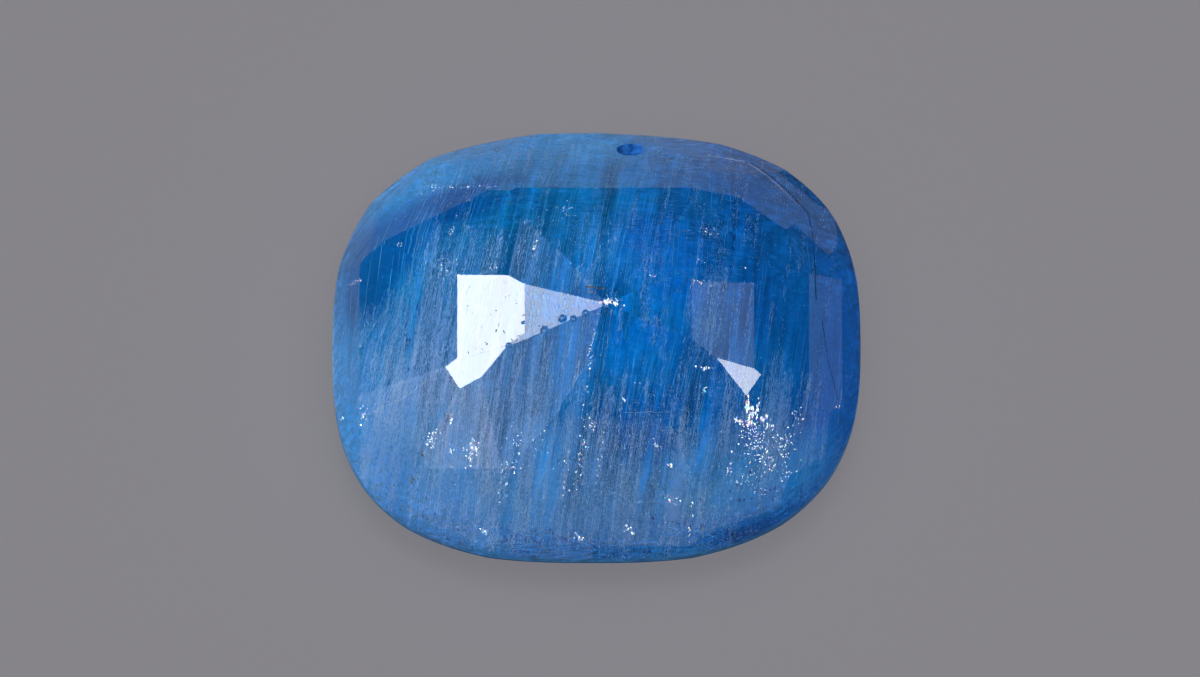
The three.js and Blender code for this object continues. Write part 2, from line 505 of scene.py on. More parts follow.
# Soft wisps of short threads: how many wisps, threads in each, spread of azimuth in degrees, and
# least and most depth, length and width of a wisp, and length and width of a thread in mm
WISPS = {
    "silk_wisps": (700, 36, 1.5, (0.01, 0.2), (0.4, 1.8), (0.012, 0.045), (0.05, 0.14), (0.006, 0.013)),
    "silk_veils": (400, 80, 1.5, (0.01, 0.25), (0.6, 2.4), (0.05, 0.14), (0.03, 0.12), (0.004, 0.010)),
}
# How far the threads of a wisp differ in depth, in mm
WISP_DEPTH = 0.02
# Threads deep in the stone: count, least and most depth, length and width in mm, spreads in degrees
DEEP_SILK = (1500, (0.5, 3.5), (0.5, 2.2), (0.005, 0.012), 1.5, 4)
# How far threads stay under the facets, in mm: those near the surface, and the deep ones
SKIN_COVER = 0.004
DEEP_COVER = 0.02
# How many random places are tried at a time
TRIES = 40000


def silk_axes(points):
    """How far points lie across and along the silk, in mm."""
    turn = math.radians(SILK_AZIMUTH)
    x, y = points[:, 0] / MM, points[:, 1] / MM
    return x * math.sin(turn) - y * math.cos(turn), x * math.cos(turn) + y * math.sin(turn)


def clouds(points, table, base):
    """How milky the stone is in plan: a base, and rounded clouds and clear spots."""
    across, along = silk_axes(points)
    level = np.full(len(points), base)
    for x, y, wide, tall, strength in table:
        centre_across, centre_along = silk_axes(np.array([[x, y, 0]]) * MM)
        reach = ((across - centre_across) / wide) ** 2 + ((along - centre_along) / tall) ** 2
        level += strength * np.exp(-reach)
    return np.clip(level, 0, 1)


def bands(points, fine, coarse):
    """Growth bands: streaks that run along the silk, from thin to thick, about 0 in the mean."""
    across, along = silk_axes(points)
    heights = points[:, 2] / MM
    thin = [noise.noise((a / fine, b / 2.6, z / 1.2)) for a, b, z in zip(across, along, heights)]
    thick = [noise.noise((a / coarse, b / 4.0, z / 2.0 + 9)) for a, b, z in zip(across, along, heights)]
    return np.array(thin) + 0.7 * np.array(thick)


# How thick the silk is: its clouds, the level between them, and its bands, if any: their middle, strength,
# width of the fine and the coarse ones in mm, and least share
DENSITIES = {
    "skin": (SKIN_CLOUDS, 0.02, (0.0, 2.4, 0.10, 0.45, 0.04)),
    "cross": (CROSS_CLOUDS, 0.0, None),
    "deep": (DEEP_CLOUDS, 0.42, (0.5, 1.0, 0.2, 0.9, 0.05)),
}


def silk_density(points, kind):
    """How thick one kind of silk is, from 0 to 1."""
    table, base, banding = DENSITIES[kind]
    level = clouds(points, table, base)
    if banding:
        middle, strength, fine, coarse, least = banding
        level = level * np.clip(middle + strength * bands(points, fine, coarse), least, 1)
    return level


def scatter(rng, count, kind, planes=None, depths=None):
    """Random places round the stone, thicker where the density is higher, between two depths in mm."""
    found = []
    total = 0
    low, high = np.array(STONE_LOW), np.array(STONE_HIGH)
    while total < count:
        points = low + rng.random((TRIES, 3)) * (high - low)
        if depths:
            depth = depth_inside(points, planes)
            points = points[(depth > depths[0] * MM) & (depth < depths[1] * MM)]
        keep = points[rng.random(len(points)) < silk_density(points, kind)]
        found.append(keep)
        total += len(keep)
    return np.concatenate(found)[:count]


def silk_lean(plan):
    """How many degrees the silk leans from its direction: more towards the west."""
    return np.interp(plan[:, 0], (-5.0, 0.0), (-5.0, 1.0))


def two_tone(name, low, high, size, roughness, detail=3.0, specular=0.1):
    """A material that wanders between two linear colours over so many mm."""
    material, tree = new_material(name)
    place = add_node(tree, "TexCoord").outputs["Object"]
    spots = {"Vector": place, "Scale": 1 / (size * MM)}
    scaled = add_node(tree, "VectorMath", spots, operation="SCALE").outputs["Vector"]
    cloud = add_node(tree, "TexNoise", {"Vector": scaled, "Scale": 1.0, "Detail": detail})
    tint = add_node(tree, "ValToRGB", {"Fac": cloud.outputs["Fac"]})
    for element, position, colour in zip(tint.color_ramp.elements, (0.35, 0.65), (low, high)):
        element.position = position
        element.color = colour
    surface = {"Base Color": tint.outputs["Color"], "Roughness": roughness, "Specular IOR Level": specular}
    return finished(material, surface)


def silk_material(settings):
    """Rutile silk: threads of titanium oxide, pale and slightly shiny, which look like combed hair."""
    dull, bright = (*settings.thread_colour, 1), (*settings.bright_colour, 1)
    return two_tone("rutile_silk", dull, bright, 1.0, 0.45, detail=2.0, specular=0.5)


class SAPPHIRE_OT_silk(bpy.types.Operator):
    """Threads of silk that lie side by side, in bands."""

    bl_idname = "sapphire.silk"
    bl_label = "Silk"

    def execute(self, context):
        settings = context.scene.sapphire_silk
        rng = np.random.default_rng(7)
        planes = stone_planes()
        material = silk_material(settings)
        shape = needle_shape()
        main = math.degrees(settings.azimuth)
        for name, (kind, count, turn, sway, depths, lengths, widths) in SKIN_LAYERS.items():
            count = round(count * settings.amount)
            plan = scatter(rng, count, kind)[:, :2] / MM
            depth, width = rng.uniform(*depths, count), rng.uniform(*widths, count)
            azimuth = main + turn + silk_lean(plan) + rng.normal(0, sway, count)
            length = rng.uniform(*lengths, count)
            lay(name, shape, planes, plan, depth, azimuth, length, width, width, SKIN_COVER, material)

        for name, (wisps, threads, sway, depths, reaches, spreads, lengths, widths) in WISPS.items():
            wisps = round(wisps * settings.amount)
            count = wisps * threads
            plan = scatter(rng, wisps, "skin")[:, :2] / MM
            azimuth = np.repeat(main + silk_lean(plan) + rng.normal(0, sway, wisps), threads)
            along = rng.uniform(-0.5, 0.5, count)
            spread = np.repeat(rng.uniform(*spreads, wisps), threads) * (1 - np.abs(along))
            across = rng.normal(0, 1, count) * spread
            along *= np.repeat(rng.uniform(*reaches, wisps), threads)
            plan = moved(np.repeat(plan, threads, axis=0), azimuth, along, across)
            depth = np.repeat(rng.uniform(*depths, wisps), threads) + rng.uniform(0, WISP_DEPTH, count)
            width, length = rng.uniform(*widths, count), rng.uniform(*lengths, count)
            lay(name, shape, planes, plan, depth, azimuth, length, width, width, SKIN_COVER, material)

        count, depths, lengths, widths, sway, lift = DEEP_SILK
        count = round(count * settings.amount)
        places = scatter(rng, count, "deep", planes, depths)
        turn = np.radians(main + rng.normal(0, sway, count))
        rise = np.radians(rng.normal(0, lift, count))
        directions = [np.cos(turn) * np.cos(rise), np.sin(turn) * np.cos(rise), np.sin(rise)]
        width = rng.uniform(*widths, count)
        frames = frames_along(np.stack(directions, axis=1), rng.uniform(*lengths, count), width)
        inside = corners_inside(places, frames, planes) > DEEP_COVER * MM
        joined_copies("silk_deep", shape, places[inside], frames[inside], material)
        return {"FINISHED"}


# The milky zone ----------------------------------------------------------------------------------

# How high the zone reaches, and its share of the crystal's length and width, and of the depth below that
MILK_TOP = 1.68 * MM
MILK_SHARE = (0.993, 0.993, 0.75)
# Half the length and width of the stone, in mm, as its colours count them
HALF_SPAN = (5.9, 4.9)
# Blue of the middle and of the rim, in the west and in the east: paler in the west as painted light from
# the west lamp, deeper in the east as painted shade
CORE_BLUES = ("#98B6D4", "#386EA4")
RIM_BLUES = ("#72C0F2", "#2C86CE")
# The even light of the outermost milk
RIM_LIGHT = 0.97
# Zones of deeper or paler blue: centre and reach in mm, colour
MILK_ZONES = (
    (0, -4.9, 6.0, 1.3, "#4CA0DA"),
    (-3.4, -4.0, 2.4, 1.4, "#5AA6DE"),
    (0.6, -2.6, 5.5, 1.6, "#A8CCF2"),
    (-2.9, 2.5, 1.6, 0.7, "#4486C4"),
    (-5.1, 1.6, 1.3, 1.9, "#5E9ED2"),
    (-4.0, 2.0, 1.1, 0.9, "#3088C8"),
    (-4.6, 1.3, 0.9, 1.2, "#2C7EB4"),
    (3.7, -4.3, 1.5, 0.7, "#2C74B8"),
    (4.0, 3.0, 2.2, 1.8, "#2274B0"),
    (3.6, 0.8, 1.2, 2.6, "#3888BE"),
    (0.9, -1.2, 1.6, 1.2, "#4C9ACC"),
    (1.5, 1.3, 1.5, 1.0, "#468CBE"),
    (3.1, -0.9, 1.0, 1.2, "#5CA4D6"),
    (-0.2, 3.9, 1.4, 0.8, "#98D0F8"),
    (-1.1, -2.0, 0.8, 1.0, "#B4D8F8"),
    (-3.3, -1.8, 1.1, 0.9, "#A4CCF0"),
)
# Masks: what they follow (X and Y in mm, or how far out to the rim), the two ends, and the mask there
MASKS = {
    "east": ("X", -0.4, 3.4, 0.0, 1.0),
    "not_west": ("X", -2.4, -1.2, 0.0, 1.0),
    "not_far_west": ("X", -4.6, -2.6, 0.2, 1.0),
    "north": ("Y", 0.2, 1.6, 0.0, 1.0),
    "front": ("Y", -3.9, -4.5, 0.0, 1.0),
    "outer": ("out", 0.45, 0.9, 0.0, 1.0),
    "rim": ("out", 0.86, 0.96, 0.0, 1.0),
}
# Streaks: azimuth in degrees, size across and along in mm, least and most light, and their masks.
# First those that run with the silk, then the mottling over them
SILK_STREAKS = (
    (SILK_AZIMUTH, 0.06, 1.8, 0.90, 1.00, ()),
    (SILK_AZIMUTH, 0.22, 4.0, 0.64, 1.06, ()),
    (SILK_AZIMUTH, 0.70, 6.0, 0.66, 1.06, ()),
    (SILK_AZIMUTH, 0.34, 3.0, 0.72, 1.22, ("not_west",)),
)
MOTTLING = (
    (0, 0.10, 0.12, 0.88, 1.12, ()),
    (-4, 0.10, 0.70, 0.86, 1.12, ("north", "not_far_west")),
    (8, 0.28, 0.42, 0.72, 1.22, ("north", "not_far_west", "east")),
    (0, 0.07, 0.40, 0.55, 1.35, ("front",)),
    (30, 0.14, 0.30, 0.78, 1.20, ("rim",)),
)


def streaked(tree, place, light, streaks, masks):
    """A light value multiplied by each of the streaks, where their masks are 1."""
    for azimuth, across, along, low, high, kept_to in streaks:
        turn = {"Vector": place, "Angle": -math.radians(azimuth)}
        turned = add_node(tree, "VectorRotate", turn, rotation_type="Z_AXIS").outputs["Vector"]
        sizes = {0: turned, 1: (1 / (along * MM), 1 / (across * MM), 1 / (along * MM))}
        drawn = add_node(tree, "VectorMath", sizes, operation="MULTIPLY").outputs["Vector"]
        wave = {"Vector": drawn, "Scale": 1.0, "Detail": 2.0, "Roughness": 0.6}
        cloud = add_node(tree, "TexNoise", wave).outputs["Fac"]
        span = {"Value": cloud, "From Min": 0.35, "From Max": 0.65, "To Min": low, "To Max": high}
        factor = add_node(tree, "MapRange", span).outputs["Result"]
        for mask in kept_to:
            factor = add_node(tree, "Mix", {0: masks[mask], 2: 1.0, 3: factor}).outputs[0]
        light = add_node(tree, "Math", {0: light, 1: factor}, operation="MULTIPLY").outputs[0]
    return light


def milk_material():
    """Corundum clouded by dust-fine silk. It turns light back as a soft blue, paler in the middle, with
    painted light in the west and painted shade in the east.
    """
    material, tree = new_material("milky_corundum")
    place = add_node(tree, "TexCoord").outputs["Object"]
    axes = add_node(tree, "SeparateXYZ", {"Vector": place}).outputs
    spans = {0: place, 1: (1 / (HALF_SPAN[0] * MM), 1 / (HALF_SPAN[1] * MM), 0)}
    flat = add_node(tree, "VectorMath", spans, operation="MULTIPLY").outputs["Vector"]
    out = add_node(tree, "VectorMath", {0: flat}, operation="LENGTH").outputs["Value"]
    masks = {}
    for name, (along, start, end, at_start, at_end) in MASKS.items():
        value, unit = (out, 1) if along == "out" else (axes[along], MM)
        ends = {"From Min": start * unit, "From Max": end * unit, "To Min": at_start, "To Max": at_end}
        masks[name] = add_node(tree, "MapRange", {"Value": value, **ends}).outputs["Result"]
    blues = []
    # Painted light and shade: the milk paler in the west and deeper in the east
    for west, east in (CORE_BLUES, RIM_BLUES):
        pair = {0: masks["east"], 6: linear(west), 7: linear(east)}
        blues.append(add_node(tree, "Mix", pair, data_type="RGBA").outputs[2])
    tints = {0: masks["outer"], 6: blues[0], 7: blues[1]}
    body = add_node(tree, "Mix", tints, data_type="RGBA").outputs[2]
    for x, y, across, along, colour in MILK_ZONES:
        scale = {0: place, 1: (1 / (across * MM), 1 / (along * MM), 0), 2: (-x / across, -y / along, 0)}
        apart = add_node(tree, "VectorMath", scale, operation="MULTIPLY_ADD").outputs["Vector"]
        reach = add_node(tree, "VectorMath", {0: apart}, operation="LENGTH").outputs["Value"]
        fade = {"Value": reach, "From Min": 0.4, "From Max": 1.0, "To Min": 1.0, "To Max": 0.0}
        near = add_node(tree, "MapRange", fade).outputs["Result"]
        zone = {0: near, 6: body, 7: linear(colour)}
        body = add_node(tree, "Mix", zone, data_type="RGBA").outputs[2]
    light = streaked(tree, place, 1.0, SILK_STREAKS, masks)
    twice = {0: masks["outer"], 1: masks["outer"]}
    outermost = add_node(tree, "Math", twice, operation="MULTIPLY").outputs[0]
    light = add_node(tree, "Mix", {0: outermost, 2: light, 3: RIM_LIGHT}).outputs[0]
    light = streaked(tree, place, light, MOTTLING, masks)
    lit = add_node(tree, "VectorMath", {"Vector": body, "Scale": light}, operation="SCALE")
    return finished(material, {"Base Color": lit.outputs["Vector"], "Roughness": 0.8})


class SAPPHIRE_OT_milk(bpy.types.Operator):
    """The milky zone that lines the crown, from the girdle to near the table."""

    bl_idname = "sapphire.milk"
    bl_label = "Milky zone"

    def execute(self, context):
        zone = own_copy(bpy.data.objects["crystal"], "milky_zone")
        edit_all()
        bpy.ops.transform.resize(value=MILK_SHARE, center_override=(0, 0, MILK_TOP))
        bpy.ops.mesh.bisect(
            plane_co=(0, 0, MILK_TOP), plane_no=(0, 0, 1), use_fill=True, clear_outer=True
        )
        face_outwards(zone, milk_material())
        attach(zone, "root")
        return {"FINISHED"}


# Specks, cracks and wear -------------------------------------------------------------------------

# Specks: plan place in mm, reach across and along the silk in mm, count, least and most length in mm,
# and width as a share of the length
GLINTS = (
    (3.55, -2.6, 0.16, 0.22, 60, 0.02, 0.06, 0.8),
    (3.95, -2.9, 0.28, 0.3, 110, 0.01, 0.05, 0.8),
    (4.35, -2.55, 0.12, 0.14, 30, 0.015, 0.05, 0.8),
    (4.55, -2.1, 0.08, 0.12, 12, 0.02, 0.05, 0.8),
    (3.0, -3.25, 0.04, 0.14, 12, 0.03, 0.08, 0.5),
    (3.5, -3.45, 0.2, 0.15, 40, 0.01, 0.04, 0.8),
    (-0.15, -1.15, 0.03, 0.35, 26, 0.02, 0.07, 0.4),
    (-0.1, -2.45, 0.05, 0.12, 10, 0.02, 0.06, 0.5),
    (-0.35, -3.0, 0.06, 0.45, 34, 0.02, 0.07, 0.5),
    (0.1, -2.95, 0.03, 0.3, 16, 0.02, 0.07, 0.4),
    (-0.75, -3.65, 0.05, 0.3, 14, 0.02, 0.07, 0.5),
    (0.6, -1.95, 0.06, 0.02, 4, 0.05, 0.09, 0.5),
    (1.37, -2.86, 0.06, 0.02, 5, 0.05, 0.1, 0.5),
    (1.68, -3.25, 0.05, 0.02, 4, 0.05, 0.09, 0.6),
    (1.6, -3.85, 0.08, 0.03, 8, 0.03, 0.07, 0.8),
    (0.7, -4.45, 0.09, 0.04, 10, 0.03, 0.09, 0.8),
    (2.12, -4.4, 0.03, 0.16, 10, 0.04, 0.1, 0.4),
    (-5.3, -1.9, 0.04, 0.1, 12, 0.03, 0.07, 0.7),
    (-5.78, -1.75, 0.02, 0.03, 3, 0.04, 0.07, 0.9),
    (-3.74, -2.6, 0.07, 0.12, 26, 0.015, 0.06, 0.8),
    (-3.28, -2.15, 0.03, 0.06, 5, 0.04, 0.1, 0.5),
    (-3.3, -2.8, 0.03, 0.05, 5, 0.03, 0.07, 0.6),
    (-2.82, -2.9, 0.07, 0.16, 30, 0.03, 0.1, 0.5),
    (-1.75, -2.75, 0.1, 0.12, 12, 0.02, 0.06, 0.6),
    (-1.85, -3.25, 0.14, 0.12, 16, 0.02, 0.06, 0.6),
    (-2.1, -3.5, 0.06, 0.22, 22, 0.02, 0.06, 0.5),
    (-1.35, -2.85, 0.2, 0.2, 12, 0.02, 0.05, 0.7),
    (-2.55, -4.45, 0.06, 0.03, 7, 0.03, 0.06, 0.7),
    (-0.4, -4.6, 0.08, 0.04, 10, 0.03, 0.07, 0.7),
    (-3.72, 3.5, 0.06, 0.06, 8, 0.02, 0.05, 0.9),
    (-2.9, 3.32, 0.3, 0.02, 12, 0.02, 0.06, 0.6),
    (-3.5, 3.2, 0.25, 0.2, 14, 0.01, 0.03, 0.9),
    (-3.3, 2.18, 0.04, 0.06, 6, 0.015, 0.04, 0.9),
    (-4.45, 1.95, 0.08, 0.04, 6, 0.015, 0.04, 0.9),
    (-3.35, 1.3, 0.12, 0.16, 18, 0.015, 0.05, 0.8),
    (-2.36, 1.14, 0.03, 0.06, 5, 0.03, 0.06, 0.6),
    (-1.42, 1.5, 0.03, 0.1, 8, 0.03, 0.07, 0.5),
    (-0.7, 2.5, 0.1, 0.1, 12, 0.01, 0.04, 0.8),
    (-5.5, 1.25, 0.1, 0.05, 14, 0.015, 0.05, 0.8),
    (2.6, 2.0, 0.12, 0.08, 12, 0.01, 0.04, 0.8),
    (2.36, 0.7, 0.1, 0.03, 8, 0.02, 0.05, 0.8),
    (2.35, 1.25, 0.05, 0.04, 3, 0.02, 0.05, 0.8),
    (3.36, 1.21, 0.02, 0.02, 1, 0.04, 0.06, 0.8),
    (2.45, -1.25, 0.08, 0.03, 10, 0.02, 0.06, 0.8),
    (2.4, -1.7, 0.05, 0.05, 5, 0.02, 0.05, 0.8),
    (1.3, 0.75, 0.06, 0.02, 4, 0.02, 0.05, 0.8),
    (0.3, 0.02, 0.12, 0.05, 34, 0.02, 0.08, 0.7),
    (5.45, -1.65, 0.02, 0.05, 4, 0.03, 0.06, 0.5),
    (-1.0, -3.4, 2.4, 0.9, 190, 0.01, 0.034, 0.7),
    (2.0, -3.3, 1.6, 0.9, 120, 0.01, 0.034, 0.7),
    (-3.8, -0.2, 1.0, 2.2, 100, 0.01, 0.03, 0.7),
    (-1.5, 1.6, 1.8, 1.0, 60, 0.01, 0.028, 0.7),
    (2.8, 1.0, 1.4, 1.4, 36, 0.01, 0.026, 0.7),
    (-3.4, 3.4, 1.2, 0.7, 30, 0.01, 0.03, 0.7),
)
# The feather's larger films
FILMS = (
    (3.42, -1.92, 0.025, 0.1, 16, 0.06, 0.2, 0.32),
    (3.5, -2.12, 0.045, 0.12, 18, 0.05, 0.16, 0.4),
    (3.64, -2.02, 0.025, 0.1, 12, 0.06, 0.18, 0.32),
    (3.22, -2.28, 0.06, 0.05, 16, 0.04, 0.12, 0.6),
    (3.46, -2.3, 0.07, 0.05, 16, 0.04, 0.12, 0.5),
    (3.8, -2.2, 0.06, 0.05, 14, 0.04, 0.13, 0.5),
    (3.98, -2.34, 0.05, 0.04, 9, 0.04, 0.1, 0.6),
    (3.9, -3.05, 0.1, 0.1, 8, 0.04, 0.1, 0.7),
    (4.25, -2.75, 0.05, 0.12, 8, 0.04, 0.1, 0.5),
)
DARK_CRYSTALS = (
    (-2.6, -4.55, 0.7, 0.1, 36, 0.06, 0.2, 0.5),
    (0.0, -4.8, 1.3, 0.07, 90, 0.06, 0.22, 0.5),
    (2.6, -4.5, 0.8, 0.1, 70, 0.06, 0.2, 0.5),
    (4.0, -3.9, 0.4, 0.2, 40, 0.05, 0.16, 0.5),
    (-4.2, -3.95, 0.5, 0.25, 12, 0.05, 0.16, 0.5),
    (2.5, 2.15, 0.08, 0.22, 12, 0.06, 0.22, 0.6),
    (3.1, 2.1, 0.08, 0.2, 12, 0.06, 0.22, 0.5),
    (3.52, 2.25, 0.16, 0.1, 10, 0.06, 0.18, 0.8),
    (1.7, 2.45, 0.14, 0.1, 8, 0.04, 0.14, 0.6),
    (2.3, 2.2, 0.14, 0.12, 8, 0.04, 0.14, 0.6),
    (2.42, 0.98, 0.05, 0.14, 6, 0.06, 0.18, 0.5),
    (3.06, 1.08, 0.04, 0.12, 6, 0.06, 0.18, 0.4),
    (1.45, -0.2, 0.03, 0.14, 5, 0.06, 0.2, 0.3),
    (2.05, -1.9, 0.12, 0.08, 8, 0.05, 0.16, 0.6),
    (2.5, -1.9, 0.1, 0.12, 7, 0.05, 0.16, 0.5),
    (3.35, -3.75, 0.12, 0.16, 10, 0.06, 0.2, 0.5),
    (2.34, -2.7, 0.1, 0.14, 6, 0.05, 0.16, 0.4),
    (-2.05, 2.9, 0.4, 0.05, 12, 0.05, 0.16, 0.7),
    (-1.2, 2.6, 0.16, 0.1, 8, 0.05, 0.16, 0.6),
    (-4.3, -0.25, 0.1, 0.45, 14, 0.1, 0.4, 0.16),
    (-4.0, 0.5, 0.16, 0.35, 12, 0.1, 0.35, 0.14),
    (-3.45, -2.4, 0.04, 0.28, 12, 0.08, 0.3, 0.25),
    (-4.8, 1.2, 0.12, 0.3, 10, 0.06, 0.2, 0.4),
    (3.03, -1.39, 0.01, 0.01, 2, 0.1, 0.12, 0.9),
)
STAINS = (
    (-0.08, 0.4, 0.12, 0.012, 10, 0.04, 0.07, 2.6),
    (-0.16, 0.28, 0.05, 0.02, 6, 0.03, 0.06, 2.0),
    (-0.02, 0.12, 0.06, 0.03, 4, 0.04, 0.08, 0.6),
    (-4.15, -3.34, 0.1, 0.03, 6, 0.06, 0.16, 0.4),
    (-3.95, -2.85, 0.1, 0.04, 6, 0.05, 0.12, 0.5),
    (-3.15, 4.45, 0.08, 0.02, 4, 0.05, 0.12, 0.5),
    (-2.72, 4.33, 0.08, 0.02, 4, 0.05, 0.12, 0.5),
    (-2.25, 4.44, 0.08, 0.03, 5, 0.05, 0.14, 0.5),
    (-3.35, -2.15, 0.03, 0.08, 3, 0.05, 0.1, 0.5),
)
# Name: material, table, how many times the count, least and most depth in mm, thickness in mm,
# spread of azimuth in degrees, and tilt
SPECKS = {
    "glints": ("film", GLINTS, 1.8, (0.02, 0.10), 0.006, 35, 0.1),
    "feather": ("film", FILMS, 1, (0.02, 0.10), 0.006, 14, 0.08),
    "dark_crystals": ("dark", DARK_CRYSTALS, 1, (0.08, 0.35), 0.01, 8, 0.12),
    "iron_stains": ("stain", STAINS, 1, (0.008, 0.03), 0.004, 60, 0.05),
}
# A plate's length as a share of the table's, and the least and most share of its width
PLATE_LENGTH = 0.85
PLATE_WIDTHS = (0.6, 1.2)
# Plates face up by at least this
STEEPEST = 0.2
# Where the films throw the light of the overhead lamp
TOWARDS_FRONT = sky_direction(-90, 77)
# How far the corners of a speck stay under the facets, in mm
SPECK_COVER = 0.005
# Cracks: width in mm, then points in plan in mm
PALE_CRACKS = (
    (0.02, (-5.3, -1.9), (-4.85, -1.75), (-4.4, -1.65), (-3.9, -1.35)),
    (0.012, (-3.9, -1.35), (-3.55, -1.3), (-3.1, -1.05)),
    (0.012, (-5.55, -2.1), (-5.3, -1.9)),
    (0.014, (-5.4, -2.3), (-5.17, -2.18), (-5.24, -1.75)),
    (0.012, (-5.17, -2.18), (-4.85, -2.6), (-4.62, -2.72)),
    (0.01, (-3.9, -1.35), (-3.35, -1.06)),
    (0.01, (-5.1, 0.1), (-4.85, 0.35), (-4.6, 0.62), (-4.35, 0.8)),
    (0.012, (0.64, -2.19), (1.0, -2.2), (1.66, -2.17)),
    (0.01, (0.7, -3.92), (1.3, -3.9), (1.9, -3.94)),
    (0.01, (-1.15, -0.7), (-1.2, -1.15), (-1.22, -1.4)),
    (0.016, (0.12, 0.0), (0.44, 0.06), (0.6, 0.08)),
    (0.01, (-0.75, -2.9), (-0.35, -2.6)),
)
# Cracks that reach the surface
DARK_CRACKS = (
    (0.03, (3.49, 4.22), (4.28, 3.56), (4.8, 2.96), (4.9, 2.45), (4.93, 1.97), (4.97, 0.72)),
    (0.018, (5.11, 0.27), (5.24, -0.6), (5.47, -1.46)),
    (0.014, (3.38, 4.19), (3.55, 4.32)),
    (0.01, (-5.45, 1.85), (-4.95, 2.42)),
)
EDGE_CRACKS = (
    (0.05, (2.52, 4.24), (2.95, 4.22), (3.38, 4.2)),
    (0.016, (3.45, 4.16), (4.1, 3.62), (4.55, 3.15)),
    (0.012, (-3.1, -0.96), (-2.55, -0.88), (-2.0, -0.78)),
)
# A crack's slivers: how long each is about, in mm, how far it laps over the next, the spread of its
# azimuth in degrees, and its least and most share of the crack's width
SLIVERS = (0.07, 1.35, 9, (0.5, 1.3))
# Marks on the polish: a flake's thickness, and the depth that puts its foot just clear of the facet
FLAKE = 0.004
ON_TOP = -0.5 * FLAKE - 0.0003
# How far marks are covered, at least: all of them on their facet, some over its edge, or anyhow
ON_FACET = ON_TOP - FLAKE
OVER_EDGE = ON_TOP - 5 * FLAKE
ANY_COVER = -math.inf
# Name: material, table, depth, and how far the crack wanders, in mm
CRACKS = {
    "pale_cracks": ("pale_crack", PALE_CRACKS, 0.012, 0.008),
    "dark_cracks": ("dark_crack", DARK_CRACKS, ON_TOP, 0.003),
    "edge_cracks": ("bruised_edge", EDGE_CRACKS, ON_TOP, 0.003),
}
# Pits on the two bright facets in the west, the same way as specks. The finest real ones are smaller
# and would not show
PITS = (
    (-2.88, 0.68, 0.02, 0.02, 2, 0.03, 0.05, 0.7),
    (-2.44, 0.66, 0.01, 0.01, 1, 0.03, 0.04, 0.8),
    (-2.1, 0.68, 0.03, 0.02, 3, 0.03, 0.06, 0.7),
    (-1.79, 0.34, 0.01, 0.08, 4, 0.03, 0.05, 0.6),
    (-1.98, 0.37, 0.02, 0.01, 1, 0.03, 0.04, 0.7),
    (-2.91, 0.2, 0.02, 0.08, 5, 0.03, 0.06, 0.7),
    (-2.93, 0.55, 0.01, 0.1, 2, 0.03, 0.04, 0.6),
    (-2.43, -0.01, 0.04, 0.01, 3, 0.03, 0.06, 0.6),
    (-2.57, -0.3, 0.02, 0.02, 2, 0.03, 0.05, 0.7),
    (-2.2, -0.27, 0.02, 0.02, 2, 0.03, 0.05, 0.7),
    (-2.27, -0.46, 0.01, 0.05, 3, 0.04, 0.07, 0.7),
    (-2.09, -0.47, 0.04, 0.02, 3, 0.03, 0.06, 0.6),
    (-1.86, -0.06, 0.01, 0.03, 2, 0.03, 0.05, 0.6),
    (-2.47, -0.69, 0.03, 0.02, 3, 0.03, 0.06, 0.7),
    (-2.7, -0.78, 0.05, 0.01, 3, 0.03, 0.06, 0.6),
    (-2.88, -0.84, 0.03, 0.01, 2, 0.03, 0.05, 0.7),
    (-2.3, 0.0, 0.42, 0.45, 15, 0.02, 0.04, 0.8),
    (-1.63, -0.08, 0.015, 0.14, 6, 0.03, 0.07, 0.7),
    (-1.93, -0.72, 0.04, 0.05, 6, 0.04, 0.09, 0.7),
    (-1.76, -0.62, 0.04, 0.03, 6, 0.03, 0.07, 0.7),
    (-1.2, -0.42, 0.06, 0.03, 5, 0.03, 0.07, 0.7),
    (-0.72, -0.26, 0.08, 0.03, 5, 0.03, 0.06, 0.7),
)
# Bruises and scratches where the girdle was knocked: dark ones and pale ones
DARK_WEAR = (
    (-1.9, -4.7, 0.7, 0.08, 40, 0.05, 0.16, 0.3),
    (0.2, -4.82, 1.3, 0.06, 140, 0.04, 0.18, 0.3),
    (2.6, -4.58, 0.8, 0.1, 120, 0.04, 0.16, 0.3),
    (4.2, -3.8, 0.35, 0.25, 60, 0.04, 0.14, 0.35),
    (-4.4, -3.8, 0.35, 0.3, 10, 0.04, 0.12, 0.35),
    (1.4, 4.45, 1.2, 0.1, 50, 0.04, 0.2, 0.16),
    (-1.6, 4.5, 1.2, 0.1, 40, 0.04, 0.16, 0.16),
    (4.9, 1.6, 0.1, 0.8, 20, 0.03, 0.12, 0.3),
)
PALE_WEAR = (
    (-2.4, -4.6, 0.9, 0.1, 60, 0.02, 0.1, 0.3),
    (0.2, -4.78, 1.3, 0.06, 90, 0.02, 0.1, 0.25),
    (2.6, -4.52, 0.8, 0.1, 70, 0.02, 0.1, 0.3),
    (4.3, -3.6, 0.35, 0.3, 40, 0.02, 0.08, 0.3),
    (1.2, 4.3, 1.3, 0.14, 90, 0.03, 0.16, 0.14),
    (-2.0, 4.2, 1.3, 0.16, 60, 0.02, 0.1, 0.2),
    (-3.9, 3.6, 0.6, 0.3, 50, 0.01, 0.05, 0.6),
)
# Name: material, table, turn from the silk's direction and spread of azimuth in degrees
WEAR = {
    # The pits' material is painted shade
    "pits": ("pit_shade", PITS, 0, 60),
    "dark_wear": ("dark_bruise", DARK_WEAR, -81, 12),
    "pale_wear": ("pale_bruise", PALE_WEAR, -81, 12),
}
# Lines left by the lap on the facet west of the culet: their azimuth in degrees, spacing, least and
# most length and width in mm, and the share of them that can be seen. They are wider than real ones,
# to show at all
LAP_LINES = (103.0, 0.088, (0.16, 0.42), (0.018, 0.032), 0.72)
# Their spread of azimuth in degrees, the step along them, and the rows' ends in x and in y, in mm
LAP_SPREAD = (1.5, 0.14, (-1.9, 0.3), (-0.8, 0.8), -0.05)
